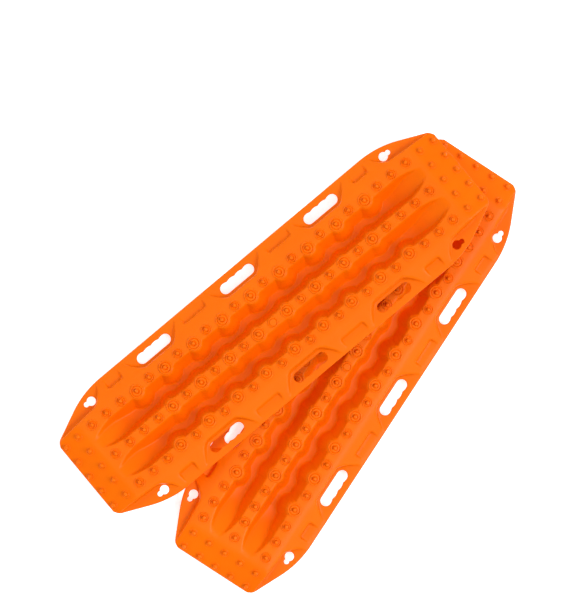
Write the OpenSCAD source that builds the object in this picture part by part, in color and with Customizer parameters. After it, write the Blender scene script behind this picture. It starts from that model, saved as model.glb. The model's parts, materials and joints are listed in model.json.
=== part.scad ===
// A pair of tyre traction boards, one leaning across the other like a fan.
// The lower board lies flat, the upper board rests on its teeth and on the ground.
// X runs along the lower board, Z is up, and the origin is at the middle of the base.

/* [Board] */
// Length of one board
board_l = 1150; // [1100:10:1200]
// Width of one board
board_w = 330; // [326:1:336]
// Thickness of the moulded wall
wall = 4.5; // [3.5:0.5:5.5]
// Height of the deck's ridges above the ground
deck_z = 52; // [46:1:58]
// Height of the flat flange around the edge
flange_z = 30; // [26:1:34]

/* [Channels] */
// Distance from the centre line to the middle of a channel
channel_y = 44.5; // [44:0.5:46]
// Width of a channel between the ridge tops
channel_w = 58; // [54:1:60]
// Width of a channel at its floor
channel_floor_w = 25; // [22:1:30]
// Length of a channel along the deck
channel_l = 996; // [980:4:1000]
// Length of the part of a channel that has its full depth
channel_deep_l = 790; // [760:10:800]

/* [Teeth] */
// Distance between neighbouring teeth along a ridge
tooth_pitch = 43.75; // [43:0.25:44]
// Radius of a large boss
large_r = 17; // [15:0.5:18]
// Radius of a small boss
small_r = 13; // [11:0.5:14]
// Height of a tooth's peg above the deck
peg_h = 12; // [8:1:14]
// Radius of a peg
peg_r = 5; // [4:0.5:6]

/* [Edge openings] */
// Distance between neighbouring hand slots
slot_pitch = 256.4; // [250:0.4:260]
// Length of a hand slot
slot_l = 96.6; // [90:0.2:100]
// Width of a hand slot
slot_w = 26; // [24:1:30]
// Distance from the centre line to the hand slots and the keyholes
slot_y = 136; // [134:1:138]
// Distance from the middle of the board to a keyhole
keyhole_x = 449; // [444:1:454]
// Radius of the wide end of a keyhole
keyhole_r = 11; // [9:0.5:12]
// Radius of the narrow end of a keyhole
keyhole_neck_r = 6.3; // [5:0.1:8]

/* [Placement] */
// Turn of the upper board in its own plane
fan_angle = -17; // [-20:0.5:-14]
// Lean of the upper board about X
roll_angle = -12.96; // [-14:0.01:-12]
// Lean of the upper board about Y
pitch_angle = -0.09; // [-1:0.01:1]
// Height of the upper board's middle above the ground
upper_z = 39.95; // [39:0.05:46]

/* [Hidden] */
$fn = 48;

// Where the boards' middles lie. The upper board touches the ground along its far edge.
lower_at = [5.714, -157.941, 0];
upper_at = lower_at + [-7.5, 196.6, upper_z];
upper_lean = [roll_angle, pitch_angle, 0];

big = 1400;
lap = 1;
half_l = board_l / 2;
half_w = board_w / 2;

// The board's cross-section: shoulder of the deck, foot of the flank, start of the end ramps.
shoulder_y = 106;
flank_foot_y = 159;
ramp_x = half_l - 67;

// The board's outline: the sides bend in along an arc, then run straight to the end corner.
side_bend_x = half_l - 176;
side_bend_r = 238;
side_bend_a = 26;
corner_x = half_l - 7;
end_y = 98;

// The channels narrow towards their ends.
channel_taper_l = 880;
channel_end_w = 30;

// Cone columns under the large bosses bulge into the channels.
column_top_r = 18.5;
column_foot_r = 36;
large_y = 82;
small_y = 88;

// Rows of end teeth, counted from the middle of the board.
end_teeth_x = [half_l - 50, half_l - 11];
end_teeth_y = 44;

// Recesses around the hand slots and the keyholes, and the shallow pads between them.
recess_y = 113;
recess_half_l = 45;
recess_flare = 39;
recess_bow = 4;
key_recess_x = 450;
key_recess_y = 118;
key_recess_flare = 38;
key_recess_bow = 6.5;
pad_floor_z = flange_z + 1.5;
long_pad = [95, 165, 132];
short_pad = [354, 399, 129];

boss_h = 2.6;
scallop_d = 2.4;

// A line from p to q that bows out to its right by s at its middle.
function bow(p, q, s, n = 8) = [
    for (i = [0:n])
        let (t = i / n, d = q - p, side = [d.y, -d.x] / norm(d))
        p + d * t + side * 4 * s * t * (1 - t)
];

// One quarter of the outline, from the middle of the side to the end's corner, grown by g.
function quarter(g) = concat(
    [
        for (a = [0:2:side_bend_a])
            [side_bend_x + (side_bend_r + g) * sin(a),
             half_w - side_bend_r + (side_bend_r + g) * cos(a)]
    ],
    bow([corner_x + g, end_y + 13 + g / 2], [half_l + g, end_y], -1.5, 4)
);

function mirrored_x(points) = [for (i = [len(points) - 1:-1:0]) [-points[i].x, points[i].y]];
function turned(points) = [for (p = points) [-p.x, -p.y]];

module outline(g = 0) {
    upper_half = concat(mirrored_x(quarter(g)), quarter(g));
    polygon(concat(upper_half, turned(upper_half)));
}

// A profile in Y and Z, drawn out along X.
module along_x(l) {
    rotate([90, 0, 90]) linear_extrude(l, center = true) children();
}

// A profile in X and Z, drawn out along Y.
module along_y(l) {
    rotate([90, 0, 0]) linear_extrude(l, center = true) children();
}

// The raised body under the deck's skin, lowered by g.
module crown(g) {
    intersection() {
        along_x(big) polygon([
            [-big, -lap], [-big, flange_z - g], [-flank_foot_y, flange_z - g],
            [-shoulder_y, deck_z - g], [shoulder_y, deck_z - g],
            [flank_foot_y, flange_z - g], [big, flange_z - g], [big, -lap]
        ]);
        along_y(big) polygon([
            [-big, -lap], [-big, flange_z - g], [-half_l, flange_z - g],
            [-ramp_x, deck_z - g], [ramp_x, deck_z - g],
            [half_l, flange_z - g], [big, flange_z - g], [big, -lap]
        ]);
    }
}

// One channel with sloping walls and ramped ends, grown by g.
module channel(g) {
    slope = (channel_w - channel_floor_w) / 2 / (deck_z - wall);
    rise = lap + g;
    intersection() {
        along_x(big) polygon([
            [-channel_floor_w / 2 - g, wall - g], [channel_floor_w / 2 + g, wall - g],
            [channel_w / 2 + g + slope * rise, deck_z + lap],
            [-channel_w / 2 - g - slope * rise, deck_z + lap]
        ]);
        along_y(big) polygon([
            [-channel_deep_l / 2, wall - g], [channel_deep_l / 2, wall - g],
            [channel_l / 2, deck_z - g], [channel_l / 2 + g, deck_z + lap],
            [-channel_l / 2 - g, deck_z + lap], [-channel_l / 2, deck_z - g]
        ]);
        linear_extrude(deck_z + 2 * lap) polygon([
            [-channel_l / 2 - g, -channel_end_w / 2 - g],
            [-channel_taper_l / 2, -channel_w / 2 - g - 2],
            [channel_taper_l / 2, -channel_w / 2 - g - 2],
            [channel_l / 2 + g, -channel_end_w / 2 - g],
            [channel_l / 2 + g, channel_end_w / 2 + g],
            [channel_taper_l / 2, channel_w / 2 + g + 2],
            [-channel_taper_l / 2, channel_w / 2 + g + 2],
            [-channel_l / 2 - g, channel_end_w / 2 + g]
        ]);
    }
}

// The columns that carry the large bosses, made thinner by g.
module columns(g) {
    h = deck_z - wall;
    module column() {
        translate([0, 0, wall - g])
            cylinder(h = h, r1 = column_foot_r - g, r2 = column_top_r - g);
    }
    for (i = [-8:2:8], s = [-1, 1]) translate([i * tooth_pitch, s * large_y, 0]) column();
    for (i = [-7:2:7]) translate([i * tooth_pitch, 0, 0]) column();
}

// Plan shapes of the recesses, grown by g.
module hand_recess(g) {
    outer_y = half_w + lap + g;
    flare = bow([recess_half_l + g, recess_y - g], [recess_half_l + recess_flare + g, outer_y],
                recess_bow);
    polygon(concat(flare, mirrored_x(flare)));
}

module key_recess(g) {
    outer_y = half_w + lap + g;
    polygon(concat(
        [[half_l + lap + g, key_recess_y - 9 - g]],
        [[half_l + lap + g, outer_y]],
        bow([key_recess_x - key_recess_flare - g, outer_y], [key_recess_x - g, key_recess_y - g],
            key_recess_bow)
    ));
}

module pad(p, g) {
    translate([p[0] - g, p[2] - g])
        square([p[1] - p[0] + 2 * g, half_w]);
}

// Everything above the recesses' floors, grown by g.
module recesses(g) {
    for (mx = [0, 1], my = [0, 1]) mirror([mx, 0, 0]) mirror([0, my, 0]) {
        translate([0, 0, flange_z - g]) linear_extrude(deck_z) key_recess(g);
        translate([0, 0, pad_floor_z - g]) linear_extrude(deck_z) {
            pad(long_pad, g);
            pad(short_pad, g);
        }
    }
    for (i = [-1:1], my = [0, 1]) mirror([0, my, 0])
        translate([i * slot_pitch, 0, flange_z - g]) linear_extrude(deck_z) hand_recess(g);
}

// The body with its channels and recesses, lowered and thinned by g.
module form(g) {
    difference() {
        crown(g);
        difference() {
            for (s = [-1, 1]) translate([0, s * channel_y, 0]) channel(g);
            columns(g);
        }
        recesses(g);
    }
}

// A hand slot with four shallow finger scallops along its outer side.
module hand_slot() {
    end_r = slot_w / 2 - 1;
    for (s = [-1, 1]) translate([s * (slot_l / 2 - end_r), slot_y]) circle(end_r);
    translate([-slot_l / 2 + end_r, slot_y - slot_w / 2]) square([slot_l - 2 * end_r, slot_w - 2]);
    for (i = [-1.5:1.5]) translate([i * slot_l / 4.3, slot_y + slot_w / 2 - scallop_d - 8])
        circle(r = 13);
}

module keyhole() {
    neck_x = keyhole_x + 14;
    translate([keyhole_x, slot_y]) circle(keyhole_r);
    translate([neck_x, slot_y + 1]) circle(keyhole_neck_r);
}

module openings() {
    translate([0, 0, -lap]) linear_extrude(deck_z) {
        for (i = [-1:1], my = [0, 1]) mirror([0, my]) translate([i * slot_pitch, 0]) hand_slot();
        for (mx = [0, 1], my = [0, 1]) mirror([mx, 0]) mirror([0, my]) keyhole();
    }
}

// The moulded shell of one board, open underneath.
module shell() {
    difference() {
        intersection() {
            form(0);
            linear_extrude(deck_z + lap) outline();
        }
        form(wall);
        openings();
    }
}

// A round boss with a ring groove around its peg.
module tooth(r) {
    groove_r = r * 0.7;
    rotate_extrude() polygon([
        [0, 0], [r, 0], [r - 0.8, 1.7], [r - 2.4, boss_h], [groove_r + 1, boss_h],
        [groove_r, boss_h - 1.4], [groove_r - 2, boss_h - 1.4], [peg_r + 1.2, boss_h],
        [peg_r, boss_h + 1], [peg_r * 0.8, peg_h - 0.8], [peg_r * 0.6, peg_h], [0, peg_h]
    ]);
}

module side_teeth(s) {
    translate([0, 0, deck_z]) {
        for (i = [-8:2:8]) translate([i * tooth_pitch, s * large_y, 0]) tooth(large_r);
        for (i = [-7:2:7]) translate([i * tooth_pitch, s * small_y, 0]) tooth(small_r);
        for (i = [9:11], m = [-1, 1]) translate([m * i * tooth_pitch, s * small_y, 0])
            tooth(small_r);
    }
}

module centre_teeth() {
    translate([0, 0, deck_z]) {
        for (i = [-7:2:7]) translate([i * tooth_pitch, 0, 0]) tooth(large_r);
        for (i = [2:2:8], m = [-1, 1]) translate([m * i * tooth_pitch, 0, 0]) tooth(small_r);
        for (i = [9:11], m = [-1, 1]) translate([m * i * tooth_pitch, 0, 0]) tooth(small_r);
        cylinder(h = boss_h, r = small_r);
    }
}

// Plain pegs on an end ramp.
module end_teeth(s) {
    fall = (deck_z - flange_z) / (half_l - ramp_x);
    difference() {
        for (x = end_teeth_x, i = [-2:2]) {
            top = deck_z - (x - ramp_x) * fall + peg_h - 1;
            translate([s * x, i * end_teeth_y, flange_z - lap])
                cylinder(h = top - flange_z + lap, r1 = peg_r + 1.4, r2 = peg_r - 1);
        }
        crown(0);
    }
}

// Puts a piece of a board where the lower or the upper board lies.
module on_lower() {
    color("darkorange") translate(lower_at) children();
}

module on_upper() {
    color("orange") translate(upper_at) rotate(upper_lean) rotate(fan_angle) children();
}

module lower_board() { on_lower() shell(); }
module lower_left_teeth() { on_lower() side_teeth(1); }
module lower_centre_teeth() { on_lower() centre_teeth(); }
module lower_right_teeth() { on_lower() side_teeth(-1); }
module lower_front_teeth() { on_lower() end_teeth(1); }
module lower_rear_teeth() { on_lower() end_teeth(-1); }
module upper_board() { on_upper() shell(); }
module upper_left_teeth() { on_upper() side_teeth(1); }
module upper_centre_teeth() { on_upper() centre_teeth(); }
module upper_right_teeth() { on_upper() side_teeth(-1); }
module upper_front_teeth() { on_upper() end_teeth(1); }
module upper_rear_teeth() { on_upper() end_teeth(-1); }

lower_board();
lower_left_teeth();
lower_centre_teeth();
lower_right_teeth();
lower_front_teeth();
lower_rear_teeth();
upper_board();
upper_left_teeth();
upper_centre_teeth();
upper_right_teeth();
upper_front_teeth();
upper_rear_teeth();
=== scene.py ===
"""A pair of orange tyre traction boards, one leaning across the other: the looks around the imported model.

Lengths in the mesh code are millimetres in a board's own frame: u runs along the board, v across it
and z up from the underside of its channels. Each board is then placed in the model's frame in metres.
"""

import json
import math

import bpy
import numpy as np
from mathutils import Matrix, Vector
from mathutils.geometry import delaunay_2d_cdt


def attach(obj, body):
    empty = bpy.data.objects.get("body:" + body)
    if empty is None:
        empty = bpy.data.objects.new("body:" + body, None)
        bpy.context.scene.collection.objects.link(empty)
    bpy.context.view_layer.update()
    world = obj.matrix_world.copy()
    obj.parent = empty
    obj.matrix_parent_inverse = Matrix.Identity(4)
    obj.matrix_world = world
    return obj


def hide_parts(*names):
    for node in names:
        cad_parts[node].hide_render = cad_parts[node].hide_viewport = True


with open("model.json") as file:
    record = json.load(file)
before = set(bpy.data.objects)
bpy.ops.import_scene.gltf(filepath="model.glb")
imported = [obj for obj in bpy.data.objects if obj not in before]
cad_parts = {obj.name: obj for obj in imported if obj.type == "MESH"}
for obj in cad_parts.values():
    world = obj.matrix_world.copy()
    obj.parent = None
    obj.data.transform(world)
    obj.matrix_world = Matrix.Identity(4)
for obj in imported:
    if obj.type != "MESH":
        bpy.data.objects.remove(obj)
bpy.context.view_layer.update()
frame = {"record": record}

# ---------------------------------------------------------------- the board's dimensions

HALF_L, HALF_W = 575.0, 165.0
WALL = 4.5
DECK, FLANGE, FLOOR = 52.0, 30.0, WALL
PAD_FLOOR = FLANGE + 1.5
SHOULDER_V, FLANK_FOOT_V = 106.0, 159.0
RAMP_U = HALF_L - 67
CORNER_U, CORNER_V, END_V = HALF_L - 7, 111.0, 98.0
BEND_U, BEND_R, BEND_A = HALF_L - 176, 238.0, 26

PITCH = 43.75
LARGE_V, SMALL_V = 82.0, 88.0
LARGE_OUTER = [k * PITCH for k in range(-8, 9, 2)]
SMALL_OUTER = [k * PITCH for k in range(-11, 12) if k % 2 or abs(k) > 8]
LARGE_CENTRE = [k * PITCH for k in range(-7, 8, 2)]
SMALL_CENTRE = [k * PITCH for k in range(-11, 12) if k and (k % 2 == 0 or abs(k) > 7)]
END_ROWS = [HALF_L - 50, HALF_L - 11]
END_STEP = 44.0

RIDGE_HALF, CHANNEL_OUT = 13.6, 75.0
WALL_SLOPE = 16.5 / (DECK - FLOOR)
COLUMN_TOP, COLUMN_FOOT = 19.0, 37.0
CHANNEL_DEEP_U, CHANNEL_END_U = 395.0, 498.0
TAPER_U, TAPER = 436.0, 14.0

SLOT_PITCH, SLOT_L, SLOT_V, SLOT_R = 256.4, 96.6, 136.0, 13.0
SCALLOP_W, SCALLOP_D = 11.5, 2.4
KEY_U, KEY_V, KEY_R = 449.0, 136.0, 11.0
NECK_U, NECK_V, NECK_R = 463.0, 137.0, 6.3

# The recesses' edges. Those at the outline run past it, to BEYOND_V.
BEYOND_V = 169.0
HAND_RECESS_U, HAND_RECESS_V, HAND_FLARE_U = 45.0, 113.0, 85.0
KEY_RECESS_U, KEY_RECESS_V, KEY_FLARE_U = 450.0, 118.0, 412.0
KEY_RECESS_END = (590.0, 108.0)
PADS = [(95.0, 165.0, 132.0), (354.0, 399.0, 129.0)]
RECESS_WALL, KEY_RECESS_WALL = 4.2, 2.3
RECESS_LEAD = 1.2

# The mesh: its rounded rim, the seam between its middle and its sides, and its steps.
RIM = 1.2
SEAM_V = 97.0
END_BLEND_U = 515.0
TOP_STEP, LOW_STEP = PITCH / 18, PITCH / 12
FULL_FILLET_DEPTH = 14.0
ROW_GAP, FLOOR_GAP = 0.3, 0.6
SIDE_STEP = 6.0
EDGE_GAP, LINE_GAP, LOOSE_GAP = 1.5, 0.8, 2.5
WELD_GRID, MATCH_GRID = 200, 50


# ---------------------------------------------------------------- small tools

def soft_min(a, b, k):
    """The lower of a and b, blended where they are within k of each other."""
    h = np.clip(0.5 + 0.5 * (b - a) / k, 0, 1)
    return b + (a - b) * h - k * h * (1 - h)


def soft_max(a, b, k):
    """The higher of a and b, blended in the same way."""
    return -soft_min(-a, -b, k)


def smooth(t):
    """An even rise from 0 to 1 that starts and ends level."""
    t = np.clip(t, 0, 1)
    return t * t * (3 - 2 * t)


def length(d):
    """Lengths of vectors in the plan."""
    return np.hypot(d[..., 0], d[..., 1])


def bow(p, q, sag, n=12):
    """Points from p to q on a line that bows out to its right by sag."""
    p, q = np.array(p, float), np.array(q, float)
    side = np.array([q[1] - p[1], p[0] - q[0]]) / length(q - p)
    t = np.linspace(0, 1, n + 1)[:, None]
    return p + (q - p) * t + side * 4 * sag * t * (1 - t)


def arc(cx, cy, r, a0, a1, n):
    """Points on a circle from angle a0 to a1, in degrees."""
    a = np.radians(np.linspace(a0, a1, n + 1))
    return np.c_[cx + r * np.cos(a), cy + r * np.sin(a)]


def rounded(points, radius, n=6):
    """An open line whose inner corners are rounded."""
    points = [np.array(p, float) for p in points]
    out = [points[0]]
    for a, b, c in zip(points, points[1:], points[2:]):
        cut = min(radius, length(a - b) / 2.01, length(c - b) / 2.01)
        p = b + (a - b) / length(a - b) * cut
        q = b + (c - b) / length(c - b) * cut
        out += [(1 - t) ** 2 * p + 2 * t * (1 - t) * b + t * t * q for t in np.linspace(0, 1, n + 1)]
    return np.array(out + [points[-1]])


def resample(line, step):
    """The line again, with its points evenly spaced at about step."""
    s = np.r_[0, np.cumsum(length(np.diff(line, axis=0)))]
    at = np.linspace(0, s[-1], max(2, round(s[-1] / step)) + 1)
    return np.c_[np.interp(at, s, line[:, 0]), np.interp(at, s, line[:, 1])]


def subdivided(line, step):
    """The line with its own points kept and more put between any that are further apart than step."""
    out = [line[0]]
    for p, q in zip(line, line[1:]):
        n = max(1, round(length(q - p) / step))
        out += [p + (q - p) * i / n for i in range(1, n + 1)]
    return np.array(out)


def right_normals(line, closed=False):
    """Unit normals to the right of the line's direction."""
    if closed:
        d = np.roll(line, -1, 0) - np.roll(line, 1, 0)
    else:
        d = np.gradient(line, axis=0)
    d = d / length(d)[:, None]
    return np.c_[d[:, 1], -d[:, 0]]


def inside(points, loop):
    """Which points lie inside a closed loop."""
    x, y = points[:, 0][:, None], points[:, 1][:, None]
    a, b = loop[None], np.roll(loop, -1, 0)[None]
    crosses = (a[..., 1] > y) != (b[..., 1] > y)
    rise = np.where(a[..., 1] == b[..., 1], 1, b[..., 1] - a[..., 1])
    at = a[..., 0] + (y - a[..., 1]) * (b[..., 0] - a[..., 0]) / rise
    return (np.sum(crosses & (x < at), axis=1) % 2) == 1


def distance(points, line, closed=False):
    """Distance from each point to a line of segments."""
    starts = line if closed else line[:-1]
    ends = np.roll(line, -1, 0) if closed else line[1:]
    best = np.full(len(points), 1e9)
    for p, q in zip(starts, ends):
        d = q - p
        t = np.clip(((points - p) @ d) / max(d @ d, 1e-9), 0, 1)
        best = np.minimum(best, length(points - p - t[:, None] * d))
    return best


def mirrored(line):
    """The line mirrored across u = 0, in reverse order."""
    return (line * [-1, 1])[::-1]


class Mesh:
    """Points and triangles gathered piece by piece and welded at the end."""

    def __init__(self):
        self.points, self.faces, self.count = [], [], 0

    def add(self, points, faces):
        self.points.append(np.asarray(points, float))
        self.faces.append(np.asarray(faces, int) + self.count)
        self.count += len(points)

    def welded(self):
        """One array of points and one of triangles, with equal points merged."""
        points, faces = np.vstack(self.points), np.vstack(self.faces)
        keys = np.round(points * WELD_GRID).astype(np.int64)
        _, first, back = np.unique(keys, axis=0, return_index=True, return_inverse=True)
        faces = back.ravel()[faces]
        good = (faces[:, 0] != faces[:, 1]) & (faces[:, 1] != faces[:, 2])
        good &= faces[:, 2] != faces[:, 0]
        return points[first], faces[good]


def grid_faces(rows, columns):
    """Triangles of a grid of rows by columns of points."""
    i, j = np.meshgrid(np.arange(rows - 1), np.arange(columns - 1), indexing="ij")
    a = (i * columns + j).ravel()
    b, c, d = a + 1, a + columns + 1, a + columns
    return np.vstack([np.c_[a, b, c], np.c_[a, c, d]])


def ring(n, start):
    """Edges that close n points into a loop."""
    i = np.arange(n)
    return np.c_[start + i, start + (i + 1) % n]


# ---------------------------------------------------------------- plan shapes

def outline(inset):
    """The side of the outline at positive v, from the rear end edge to the front one."""
    bend = arc(BEND_U, HALF_W - BEND_R, BEND_R - inset, 90, 90 - BEND_A, 16)
    corner = rounded([bend[-1], [CORNER_U - inset, CORNER_V - inset / 2],
                      [HALF_L - inset, END_V]], 9)
    front = np.vstack([bend, corner[1:]])
    return np.vstack([mirrored(front), front])


def slot_loop(centre_u, grow):
    """A hand slot with round ends and four finger scallops on its outer side."""
    flat, r = SLOT_L / 2 - SLOT_R, SLOT_R + grow
    us = np.linspace(flat - 1, 1 - flat, 33)
    nearest = np.array([-3, -1, 1, 3]) * SCALLOP_W
    off = np.min(np.abs(us[:, None] - nearest[None]), axis=1)
    outer = np.c_[us, SLOT_V + r - SCALLOP_D * (off / SCALLOP_W) ** 2]
    inner = np.c_[np.linspace(-flat, flat, 16)[1:-1], np.full(14, SLOT_V - r)]
    front = arc(flat, SLOT_V, r, -90, 78, 14)
    rear = arc(-flat, SLOT_V, r, 102, 270, 14)
    return np.vstack([front, outer, rear, inner]) + [centre_u, 0]


def key_loop(side, grow):
    """A keyhole: a wide round end and a narrow one towards the board's end."""
    wide, narrow = KEY_R + grow, NECK_R + grow
    span = math.hypot(NECK_U - KEY_U, NECK_V - KEY_V)
    tilt = math.degrees(math.atan2(NECK_V - KEY_V, NECK_U - KEY_U))
    along = (span**2 + wide**2 - narrow**2) / (2 * span)
    open_wide = math.degrees(math.acos(along / wide))
    open_narrow = math.degrees(math.acos((along - span) / narrow))
    big = arc(KEY_U, KEY_V, wide, tilt + open_wide, tilt + 360 - open_wide, 30)
    small = arc(NECK_U, NECK_V, narrow, tilt - open_narrow, tilt + open_narrow, 18)
    loop = np.vstack([big, small[1:-1]])
    return loop if side > 0 else mirrored(loop)


def hand_recess(centre_u):
    """The edge of the recess around a hand slot, flared towards the outline."""
    flare = bow([HAND_RECESS_U, HAND_RECESS_V], [HAND_FLARE_U, BEYOND_V], 4)[3:]
    corners = [[-HAND_RECESS_U, HAND_RECESS_V], [HAND_RECESS_U, HAND_RECESS_V]]
    inner = rounded([mirrored(flare)[-1], *corners, flare[0]], 12)
    return np.vstack([mirrored(flare)[:-1], inner, flare[1:]]) + [centre_u, 0]


def key_recess(side):
    """The edge of the recess around a keyhole, from the outline to the board's end."""
    corner = [KEY_RECESS_U, KEY_RECESS_V]
    flare = bow([KEY_FLARE_U, BEYOND_V], corner, 6.5)[:-3]
    wall = np.vstack([flare[:-1], rounded([flare[-1], corner, KEY_RECESS_END], 12)])
    return wall if side > 0 else mirrored(wall)


def pad(side, u0, u1, v0):
    """A shallow pad between two of the larger recesses."""
    line = rounded([[u0, BEYOND_V], [u0, v0], [u1, v0], [u1, BEYOND_V]], 7)
    return line if side > 0 else mirrored(line)


def recess_shapes():
    """Each recess: its edge as a line with the recess on its left, its floor and its wall's width."""
    shapes = [(hand_recess(i * SLOT_PITCH), FLANGE, RECESS_WALL) for i in (-1, 0, 1)]
    for side in (-1, 1):
        shapes.append((key_recess(side), FLANGE, KEY_RECESS_WALL))
        shapes += [(pad(side, *ends), PAD_FLOOR, RECESS_WALL) for ends in PADS]
    return shapes


RECESSES = recess_shapes()


def depth_into(points, edge):
    """How far each point is inside a recess, measured from its edge."""
    loop = np.vstack([edge, [[edge[-1, 0], 400], [edge[0, 0], 400]]])
    d = distance(points, edge)
    return np.where(inside(points, loop), d, -d)


# ---------------------------------------------------------------- heights

def crown(u, v):
    """The board without its channels and recesses: deck, flanks, end ramps and flange."""
    u, v = np.abs(u), np.abs(v)
    flank = DECK - (DECK - FLANGE) * (v - SHOULDER_V) / (FLANK_FOOT_V - SHOULDER_V)
    ramp = DECK - (DECK - FLANGE) * (u - RAMP_U) / (HALF_L - RAMP_U)
    z = soft_min(np.full(np.shape(u), DECK), flank, 4)
    z = soft_min(z, ramp, 3)
    return soft_max(z, np.full(np.shape(u), FLANGE), 2)


def recessed(points, thin):
    """The crown with its recesses; thin is the wall's thickness for the underside, and 0 on top."""
    z = crown(points[:, 0], points[:, 1])
    for edge, floor, width in RECESSES:
        near = (points[:, 0] > edge[:, 0].min() - 12) & (points[:, 0] < edge[:, 0].max() + 12)
        near &= points[:, 1] > edge[:, 1].min() - 12
        d = depth_into(points[near], edge) + thin
        share = smooth((d + RECESS_LEAD) / (RECESS_LEAD + width))
        low = soft_min(z[near], np.full(near.sum(), floor), 0.5)
        z[near] += (low - z[near]) * share
    return z - thin


# ---------------------------------------------------------------- the middle: ridges and channels

def channel_side(u, z, outer, thin):
    """Where a channel's wall is at height z: a sloping wall and the columns that bulge from it."""
    rise = DECK - z
    radius = COLUMN_TOP + (COLUMN_FOOT - COLUMN_TOP) * rise / (DECK - FLOOR) - thin
    far = np.clip((np.abs(u) - TAPER_U) / (CHANNEL_END_U - TAPER_U), 0, 1)
    taper = TAPER * far**1.3
    bulge = np.full(np.shape(u), -5.0)
    for c in LARGE_OUTER if outer else LARGE_CENTRE:
        bulge = np.maximum(bulge, np.sqrt(np.maximum(radius**2 - (u - c) ** 2, 0.01)))
    if outer:
        return LARGE_V - soft_max(LARGE_V - CHANNEL_OUT + rise * WALL_SLOPE - thin + taper, bulge, 3)
    return soft_max(RIDGE_HALF + rise * WALL_SLOPE - thin + taper, bulge, 3)


def channel_floor(u):
    """Height of the channel's floor, which ramps up to the deck at its ends."""
    slope = (DECK - FLOOR) / (CHANNEL_END_U - CHANNEL_DEEP_U)
    ramp = FLOOR + (np.abs(u) - CHANNEL_DEEP_U) * slope
    floor = soft_max(np.full(np.shape(u), FLOOR), ramp, 12)
    return soft_min(floor, crown(u, 0 * u), 5)


# A wall's rows from the deck down: step sideways, fixed fall, and share of the remaining depth.
WALL_ROWS = [(-5.2, 0, 0), (-3.5, 0.12, 0), (-2.0, 0.55, 0), (-0.8, 1.5, 0), (0, 3.0, 0),
             (0.2, 3.6, 0.14), (0.3, 4.2, 0.32), (0.4, 4.6, 0.5), (0.5, 5, 0.68), (0.6, 5.4, 0.84),
             (0.7, 5.8, 1), (1.2, 7.6, 1), (2.2, 8.9, 1), (3.6, 9.8, 1), (5.4, 10.2, 1)]
FILLETS = WALL_ROWS[-1][1]


def wall_rows(u, top, depth, outer, thin):
    """(v, z) of one wall's rows, from the deck down to the channel's floor."""
    scale = np.minimum(1, depth / FULL_FILLET_DEPTH)
    side = -1 if outer else 1
    rows = []
    for i, (step, fall, share) in enumerate(WALL_ROWS):
        z = top - scale * fall - share * np.maximum(depth - scale * FILLETS, 0)
        v = channel_side(u, z + thin, outer, thin)
        rows.append([v + side * (step + 0.5 * i * (1 - scale)), z])
    return rows


def middle_rows(u, thin):
    """v and z of every row from the centre line to the seam, at the stations u."""
    top = crown(u, 0 * u) - thin
    floor = channel_floor(u) - thin
    depth = np.maximum(top - floor, 0)
    inner = wall_rows(u, top, depth, False, thin)
    outer = wall_rows(u, top, depth, True, thin)
    middle = (inner[-1][0] + outer[-1][0]) / 2
    limit_in, limit_out = middle - FLOOR_GAP, middle + FLOOR_GAP
    for low, high in zip(inner[::-1], outer[::-1]):
        low[0] = np.minimum(low[0], limit_in)
        high[0] = np.maximum(high[0], limit_out)
        limit_in, limit_out = low[0] - ROW_GAP, high[0] + ROW_GAP
    rows = [(inner[0][0] * t, top) for t in (0, 0.34, 0.68)]
    rows += inner + [(middle, floor)] + outer[::-1]
    start = outer[0][0]
    for t in (0.25, 0.5, 0.75, 1):
        v = start + (SEAM_V - start) * t
        rows.append((v, crown(u, v) - thin))
    v = np.array([row[0] for row in rows])
    z = np.array([row[1] for row in rows])
    even = SEAM_V * np.linspace(0, 1, len(rows))[:, None]
    blend = smooth((np.abs(u) - END_BLEND_U) / (HALF_L - RIM - END_BLEND_U))[None]
    v = v * (1 - blend) + even * blend
    return v, np.where(blend > 0, crown(u[None] + 0 * v, v) - thin, z)


def stations(step):
    """Values of u from the rear end to the front one, denser along the channels."""
    half = np.arange(0, 11.4 * PITCH, step)
    half = np.r_[half, np.linspace(half[-1], HALF_L - RIM, 19)[1:]]
    return np.r_[-half[:0:-1], half]


def middle_part(us, thin):
    """Points and triangles from the centre line to the seam."""
    v, z = middle_rows(us, thin)
    points = np.stack([np.broadcast_to(us, v.shape), v, z], -1).reshape(-1, 3)
    return points, grid_faces(len(v), len(us))


# ---------------------------------------------------------------- the sides: flanks and flange

SIDE_ROWS = [99.5, 102.5, 105.5, 109, 113, 117, 122, 127, 132, 137, 142, 147, 151.5, 155, 158.5, 161.5]


def wall_lines(thin):
    """Lines of points that run along every recess's wall, from its top to its foot."""
    lines = []
    for edge, _, width in RECESSES:
        edge = resample(edge, 4)
        left = -right_normals(edge)
        for t in np.linspace(0, 1, 9):
            lines.append(edge + left * ((RECESS_LEAD + width) * t - RECESS_LEAD - thin))
    return lines


def loose_points(thin):
    """Points spread over the strip, clear of the recesses' walls."""
    rows = []
    for k, v in enumerate(SIDE_ROWS):
        u = np.arange(-566 + SIDE_STEP / 2 * (k % 2), 567, SIDE_STEP)
        rows.append(np.c_[u, np.full(len(u), v)])
    points = np.vstack(rows)
    for edge, _, width in RECESSES:
        d = depth_into(points, edge) + thin
        points = points[(d < -RECESS_LEAD - 1.8) | (d > width + 1.8)]
    return points


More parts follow.
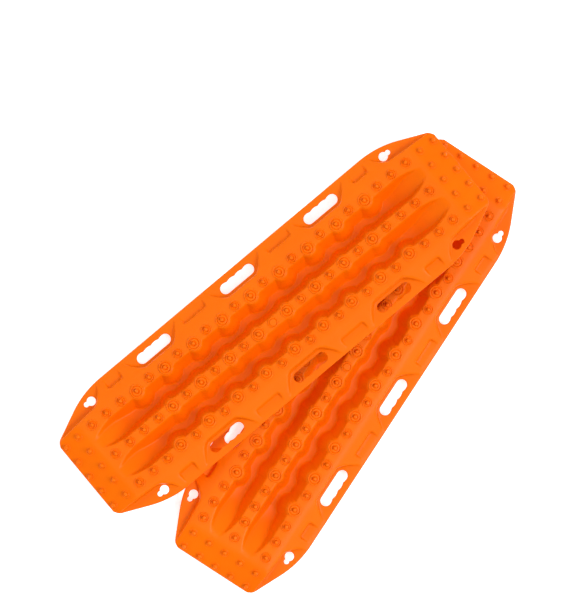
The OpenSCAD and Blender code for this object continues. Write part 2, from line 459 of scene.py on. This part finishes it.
def side_part(us, thin):
    """Triangles of the strip between the seam and the outline, with its holes left open."""
    seam = np.c_[us, np.full(len(us), SEAM_V)]
    border = np.vstack([seam, subdivided(outline(RIM), SIDE_STEP)[::-1]])
    holes = [slot_loop(i * SLOT_PITCH, RIM) for i in (-1, 0, 1)]
    holes += [key_loop(side, RIM) for side in (-1, 1)]
    plan, links, count = [], [], 0
    for loop in [border] + holes:
        plan.append(loop)
        links.append(ring(len(loop), count))
        count += len(loop)

    def free(points, gap):
        """Which points lie on the strip, clear of its border and, by gap, of its holes."""
        ok = inside(points, border) & (distance(points, border, True) > EDGE_GAP)
        for hole in holes:
            ok &= ~inside(points, hole) & (distance(points, hole, True) > gap)
        return ok

    for line in wall_lines(thin):
        ok = free(line, LINE_GAP)
        number = count + np.cumsum(ok) - 1
        pairs = np.flatnonzero(ok[1:] & ok[:-1])
        links.append(np.c_[number[pairs], number[pairs + 1]])
        plan.append(line[ok])
        count += ok.sum()
    loose = loose_points(thin)
    plan.append(loose[free(loose, LOOSE_GAP)])
    plan = np.vstack(plan)
    made = delaunay_2d_cdt([Vector(p) for p in plan], np.vstack(links).tolist(), [], 0, 1e-4, True)
    spots = np.array([plan[old[0]] if old else tuple(p) for p, old in zip(made[0], made[3])])
    faces = np.array(made[2], int)
    centre = spots[faces].mean(1)
    keep = inside(centre, border)
    for hole in holes:
        keep &= ~inside(centre, hole)
    faces = faces[keep]
    ab, ac = spots[faces[:, 1]] - spots[faces[:, 0]], spots[faces[:, 2]] - spots[faces[:, 0]]
    area = ab[:, 0] * ac[:, 1] - ab[:, 1] * ac[:, 0]
    faces[area < 0] = faces[area < 0][:, ::-1]
    z = recessed(spots, thin)
    on_seam = spots[:, 1] < SEAM_V + 0.01
    z[on_seam] = crown(spots[on_seam, 0], spots[on_seam, 1]) - thin
    return np.c_[spots, z], faces[np.abs(area) > 1e-7]


# ---------------------------------------------------------------- the shell as one mesh

def skin(step, thin):
    """The whole upper surface, or with thin the underside, mirrored from its half at positive v."""
    us = stations(step)
    both = Mesh()
    for part in (middle_part, side_part):
        points, faces = part(us, thin)
        both.add(points, faces)
        both.add(points * [1, -1, 1], faces[:, ::-1])
    return both.welded()


def open_loops(faces):
    """Loops of the edges that only one triangle has, in that triangle's own direction."""
    edges = np.vstack([faces[:, [0, 1]], faces[:, [1, 2]], faces[:, [2, 0]]]).tolist()
    known = set(map(tuple, edges))
    after = {a: b for a, b in known if (b, a) not in known}
    loops = []
    while after:
        start, at = after.popitem()
        loop = [start]
        while at != start:
            loop.append(at)
            at = after.pop(at)
        loops.append(loop)
    return loops


def rim_strip(top, low):
    """A rounded edge between a loop of the upper skin and the same loop of the underside."""
    out = right_normals(top[:, :2], closed=True)
    rows = [top]
    for line, side, turns in ((top, -1, (30, 60, 90)), (low, 1, (90, 60, 30))):
        for a in np.radians(turns):
            plan = top[:, :2] + out * RIM * math.sin(a)
            rows.append(np.c_[plan, line[:, 2] + side * RIM * (1 - math.cos(a))])
    rows.append(low)
    n = len(top)
    i = np.arange(n)
    faces = []
    for r in range(len(rows) - 1):
        a, b = r * n + i, r * n + (i + 1) % n
        faces += [np.c_[a, a + n, b + n], np.c_[a, b + n, b]]
    return np.vstack(rows), np.vstack(faces)


def plan_keys(points):
    """Each point's place in the plan as whole numbers, to match the two skins' edges by."""
    return np.round(points[:, :2] * MATCH_GRID).astype(int).tolist()


def shell_mesh():
    """Points and triangles of one board's moulded shell."""
    top, top_faces = skin(TOP_STEP, 0.0)
    low, low_faces = skin(LOW_STEP, WALL)
    whole = Mesh()
    whole.add(top, top_faces)
    whole.add(low, low_faces[:, ::-1])
    below = {tuple(key): i for i, key in enumerate(plan_keys(low))}
    for loop in open_loops(top_faces):
        partners = [below[tuple(key)] for key in plan_keys(top[loop])]
        whole.add(*rim_strip(top[loop], low[partners]))
    return whole.welded()


# ---------------------------------------------------------------- the teeth

# Profiles as (radius, height above the deck), from the sunken foot to the axis.
PEG = [(5.5, 1.6), (5.2, 1.5), (4.95, 2.6), (4.7, 4.6), (4.45, 7.4), (4.2, 10), (3.85, 11.1),
       (3.1, 11.75), (1.8, 12), (0, 12)]
LARGE = [(0, -1.8), (17.2, -1.8), (17.2, 0.4), (16.8, 1.6), (16, 2.5), (15, 2.95), (14.2, 3),
         (13.6, 2.8), (13.1, 2.2), (12.8, 1.2), (12.4, 0.5), (11.9, 0.4), (11.4, 0.9), (11.1, 1.9),
         (10.6, 2.7), (9.8, 3), (8, 3), (6.8, 2.9), (6.1, 2.5)] + PEG
SMALL_RINGS = [(0, -1.8), (13.2, -1.8), (13.2, 0.4), (12.9, 1.4), (12.3, 2.2), (11.6, 2.6),
               (11, 2.6), (10.5, 2.3), (10.1, 1.3), (9.7, 0.5), (9.2, 0.4), (8.75, 0.9), (8.4, 1.9),
               (7.9, 2.6)]
SMALL = SMALL_RINGS + [(7.2, 2.8), (6.4, 2.7), (5.9, 2.4)] + PEG
DISC = SMALL_RINGS + [(7, 2.8), (4, 2.9), (0, 2.9)]
RAMP_PEG = [(0, -2), (9.6, -2), (9.6, 0.2), (9.3, 1.1), (8.7, 1.7), (7.9, 1.9), (7.2, 1.7),
            (6.6, 1.4), (6, 2.2)]
RAMP_TOP = [(5.3, 4.4), (4.9, 7), (4.6, 9.4), (4.2, 10.4), (3.2, 11), (1.8, 11.2), (0, 11.2)]


def turned(profile, u, v, base, n):
    """A profile turned about an upright axis at u, v; base gives the height that it stands on."""
    a = np.arange(n) * 2 * math.pi / n
    points, rows = [], []
    for r, z in profile:
        count = n if r > 0 else 1
        spots = np.c_[u + r * np.cos(a[:count]), v + r * np.sin(a[:count])]
        rows.append(len(points) + np.arange(count))
        points += np.c_[spots, base(spots, z)].tolist()
    faces = []
    i = np.arange(n)
    for low, high in zip(rows, rows[1:]):
        a0, a1 = (low[0] + 0 * i, low[0] + 0 * i) if len(low) == 1 else (low, np.roll(low, -1))
        b0, b1 = (high[0] + 0 * i, high[0] + 0 * i) if len(high) == 1 else (high, np.roll(high, -1))
        if len(low) > 1:
            faces.append(np.c_[a0, a1, b1])
        if len(high) > 1:
            faces.append(np.c_[a0, b1, b0])
    return np.array(points), np.vstack(faces)


def deck_base(spots, z):
    """Heights of points that stand on the level deck."""
    return np.full(len(spots), DECK + z)


def teeth(places):
    """One mesh of several teeth, from (profile, u, v, base) for each."""
    mesh = Mesh()
    for profile, u, v, base in places:
        mesh.add(*turned(profile, u, v, base, 40 if profile is LARGE else 36))
    return np.vstack(mesh.points), np.vstack(mesh.faces)


def side_teeth(side):
    """The teeth along one of the two outer ridges."""
    places = [(LARGE, u, side * LARGE_V, deck_base) for u in LARGE_OUTER]
    return teeth(places + [(SMALL, u, side * SMALL_V, deck_base) for u in SMALL_OUTER])


def centre_teeth():
    """The teeth along the middle ridge, with a plain disc at its middle."""
    places = [(LARGE, u, 0, deck_base) for u in LARGE_CENTRE]
    places += [(SMALL, u, 0, deck_base) for u in SMALL_CENTRE]
    return teeth(places + [(DISC, 0, 0, deck_base)])


def end_teeth(side):
    """Plain pegs on an end ramp. Their feet follow its slope and their tops are level."""
    mesh = Mesh()
    for row in END_ROWS:
        level = float(crown(np.array(row), np.array(0.0)))

        def base(spots, z, level=level):
            ground = crown(spots[:, 0], spots[:, 1])
            share = min(1, max(0, (z - 1.2) / 8))
            return z + ground * (1 - share) + level * share

        for i in range(-2, 3):
            mesh.add(*turned(RAMP_PEG + RAMP_TOP, side * row, i * END_STEP, base, 32))
    return np.vstack(mesh.points), np.vstack(mesh.faces)


# ---------------------------------------------------------------- placing the boards

def mount(name):
    """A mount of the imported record, by its name."""
    return next(m for m in frame["record"]["mounts"] if m["name"] == name)


def board_placement(front, rear, up, middle):
    """The matrix from a board's own millimetres to the model's frame."""
    z = Vector(up).normalized()
    x = (Vector(front) - Vector(rear)).normalized()
    y = z.cross(x).normalized()
    x = y.cross(z)
    origin = Vector(middle) - z * FLANGE * 0.001
    turn = Matrix((x, y, z)).transposed().to_4x4()
    return Matrix.Translation(origin) @ turn @ Matrix.Scale(0.001, 4)


low_mount = mount("lower_keyholes")["pos_m"]
high_front, high_rear = mount("upper_front_keyholes"), mount("upper_rear_keyholes")
high_middle = (Vector(high_front["pos_m"]) + Vector(high_rear["pos_m"])) / 2
PLACES = {
    "lower": board_placement(Vector(low_mount) + Vector((1, 0, 0)), low_mount, (0, 0, 1), low_mount),
    "upper": board_placement(high_front["pos_m"], high_rear["pos_m"], high_front["axis"], high_middle),
}


# ---------------------------------------------------------------- material

def nylon():
    """Moulded orange nylon: a fine grain, a slow mottle in its colour and a painted highlight on its convex
    edges, in patches.
    """
    material = bpy.data.materials.new("orange_nylon")
    material.use_nodes = True
    tree = material.node_tree
    shader = tree.nodes["Principled BSDF"]
    shader.inputs["IOR"].default_value = 1.5
    shader.inputs["Specular IOR Level"].default_value = 0.1

    def node(kind, **values):
        made = tree.nodes.new(kind)
        for key, value in values.items():
            if hasattr(made, key):
                setattr(made, key, value)
            else:
                made.inputs[key].default_value = value
        return made

    place = node("ShaderNodeTexCoord").outputs["Object"]

    def noise(scale, detail, roughness=0.5):
        made = node("ShaderNodeTexNoise", Scale=scale, Detail=detail, Roughness=roughness)
        tree.links.new(place, made.inputs["Vector"])
        return made.outputs["Fac"]

    def ramp(value, *stops):
        made = node("ShaderNodeValToRGB")
        tree.links.new(value, made.inputs["Fac"])
        items = made.color_ramp.elements
        while len(items) < len(stops):
            items.new(0.5)
        for item, (at, colour) in zip(items, stops):
            item.position = at
            item.color = (*colour, 1)
        return made.outputs["Color"]

    mottle = ramp(noise(9, 3), (0.3, (0.85, 0.139, 0.0002)), (0.7, (0.89, 0.154, 0.0003)))
    # Convex edges get a paler, pinker orange: a painted highlight along the edges, not a real colour of the
    # nylon.
    edge = ramp(node("ShaderNodeNewGeometry").outputs["Pointiness"],
                (0.52, (0, 0, 0)), (0.6, (1, 1, 1)))
    # Noise that breaks the painted edge highlight into patches.
    highlight_patches = ramp(noise(42, 4, 0.6), (0.38, (0, 0, 0)), (0.66, (0.45, 0.45, 0.45)))
    both = node("ShaderNodeMix", data_type="RGBA", blend_type="MULTIPLY")
    both.inputs["Factor"].default_value = 1
    tree.links.new(edge, both.inputs["A"])
    tree.links.new(highlight_patches, both.inputs["B"])
    # The mottled orange with the painted edge highlight mixed in; the highlight's colour is the pale orange
    # set on input B.
    mottle_and_painted_highlight = node("ShaderNodeMix", data_type="RGBA")
    tree.links.new(both.outputs["Result"], mottle_and_painted_highlight.inputs["Factor"])
    tree.links.new(mottle, mottle_and_painted_highlight.inputs["A"])
    mottle_and_painted_highlight.inputs["B"].default_value = (1.0, 0.235, 0.035, 1)
    tree.links.new(mottle_and_painted_highlight.outputs["Result"], shader.inputs["Base Color"])

    sheen = node("ShaderNodeMapRange")
    sheen.inputs["To Min"].default_value = 0.28
    sheen.inputs["To Max"].default_value = 0.38
    tree.links.new(noise(60, 3), sheen.inputs["Value"])
    tree.links.new(sheen.outputs["Result"], shader.inputs["Roughness"])

    grain = node("ShaderNodeBump", Strength=0.25, Distance=0.00035)
    tree.links.new(noise(1100, 2), grain.inputs["Height"])
    sink = node("ShaderNodeBump", Strength=0.12, Distance=0.004)
    tree.links.new(noise(22, 2), sink.inputs["Height"])
    tree.links.new(grain.outputs["Normal"], sink.inputs["Normal"])
    tree.links.new(sink.outputs["Normal"], shader.inputs["Normal"])
    return material


def plain(name, colour, roughness):
    """A material of one colour, for the floor."""
    material = bpy.data.materials.new(name)
    material.use_nodes = True
    shader = material.node_tree.nodes["Principled BSDF"]
    shader.inputs["Base Color"].default_value = (*colour, 1)
    shader.inputs["Roughness"].default_value = roughness
    return material


# ---------------------------------------------------------------- pieces

def piece(name, mesh, which, material, *nodes):
    """A smooth-shaded piece that stands for CAD nodes and rides on its board."""
    points, faces = mesh
    turn = np.array(PLACES[which])
    points = points @ turn[:3, :3].T + turn[:3, 3]
    data = bpy.data.meshes.new(name)
    data.from_pydata(points.tolist(), [], faces.tolist())
    data.shade_smooth()
    data.materials.append(material)
    made = bpy.data.objects.new(name, data)
    bpy.context.scene.collection.objects.link(made)
    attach(made, which + "_board")
    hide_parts(*nodes)
    return made


orange = nylon()
MESHES = {
    "board": shell_mesh(),
    "left_teeth": side_teeth(1),
    "centre_teeth": centre_teeth(),
    "right_teeth": side_teeth(-1),
    "front_teeth": end_teeth(1),
    "rear_teeth": end_teeth(-1),
}
for which in ("lower", "upper"):
    for part, mesh in MESHES.items():
        shape = "shell" if part == "board" else part
        piece(f"{which}_{shape}_moulding", mesh, which, orange, f"{which}_{part}")


# ---------------------------------------------------------------- the studio

def studio_floor():
    """A large pale floor that glows a little, so that it stays white in the object's shade."""
    data = bpy.data.meshes.new("floor")
    half = 30.0
    corners = [(-half, -half, 0), (half, -half, 0), (half, half, 0), (-half, half, 0)]
    data.from_pydata(corners, [], [(0, 1, 2, 3)])
    pale = plain("pale_floor", (0.9, 0.93, 0.98), 0.9)
    glow = pale.node_tree.nodes["Principled BSDF"].inputs
    glow["Emission Color"].default_value = (0.95, 0.97, 1, 1)
    glow["Emission Strength"].default_value = 0.6
    data.materials.append(pale)
    floor = bpy.data.objects.new("floor", data)
    bpy.context.scene.collection.objects.link(floor)


def sun(name, direction, strength, spread, gloss):
    """A soft light from a direction. Without gloss it leaves no highlight."""
    data = bpy.data.lights.new(name, "SUN")
    data.energy = strength
    data.angle = math.radians(spread)
    made = bpy.data.objects.new(name, data)
    made.rotation_euler = (-Vector(direction)).to_track_quat("-Z", "Y").to_euler()
    made.visible_glossy = gloss
    bpy.context.scene.collection.objects.link(made)


def sky():
    """A pale surround, dimmer overhead than near the horizon."""
    world = bpy.data.worlds.new("studio")
    bpy.context.scene.world = world
    world.use_nodes = True
    tree = world.node_tree
    back = tree.nodes["Background"]
    back.inputs["Strength"].default_value = 1.0
    place = tree.nodes.new("ShaderNodeTexCoord")
    split = tree.nodes.new("ShaderNodeSeparateXYZ")
    ramp = tree.nodes.new("ShaderNodeValToRGB")
    tree.links.new(place.outputs["Generated"], split.inputs["Vector"])
    tree.links.new(split.outputs["Z"], ramp.inputs["Fac"])
    tree.links.new(ramp.outputs["Color"], back.inputs["Color"])
    stops = ((0.4, 0.6), (0.8, 0.02))
    for item, (height, grey) in zip(ramp.color_ramp.elements, stops):
        item.position = height
        item.color = (grey, grey, grey, 1)


def camera():
    """Looks down along the middle direction of the two boards' normals, from far away."""
    back = Vector((0, 0.113, 0.9936)).normalized()
    along = Vector((1, 0, 0))
    across = back.cross(along)
    turn = math.radians(56.86)
    right = along * math.cos(turn) - across * math.sin(turn)
    up = along * math.sin(turn) + across * math.cos(turn)
    data = bpy.data.cameras.new("camera")
    data.lens = 600
    data.sensor_width = 36
    data.clip_end = 200
    made = bpy.data.objects.new("camera", data)
    target = Vector((0.0531, 0.0530, 0.0))
    width_seen_m = 1.4169
    distance_m = width_seen_m * data.lens / data.sensor_width
    turned_to = Matrix((right, up, back)).transposed().to_4x4()
    made.matrix_world = Matrix.Translation(target + back * distance_m) @ turned_to
    bpy.context.scene.collection.objects.link(made)
    bpy.context.scene.camera = made
    return right, up


studio_floor()
sky()
image_right, image_up = camera()
key_from = image_right - image_up * 0.2 + Vector((0, 0, 1.45))
fill_from = image_up * 0.5 - image_right * 0.7 + Vector((0, 0, 0.95))
sun("key", key_from, strength=1.9, spread=32, gloss=True)
sun("fill", fill_from, strength=0.82, spread=45, gloss=False)
sun("top", Vector((0, 0, 1)), strength=1.02, spread=60, gloss=False)

bpy.context.scene.view_settings.view_transform = "Standard"
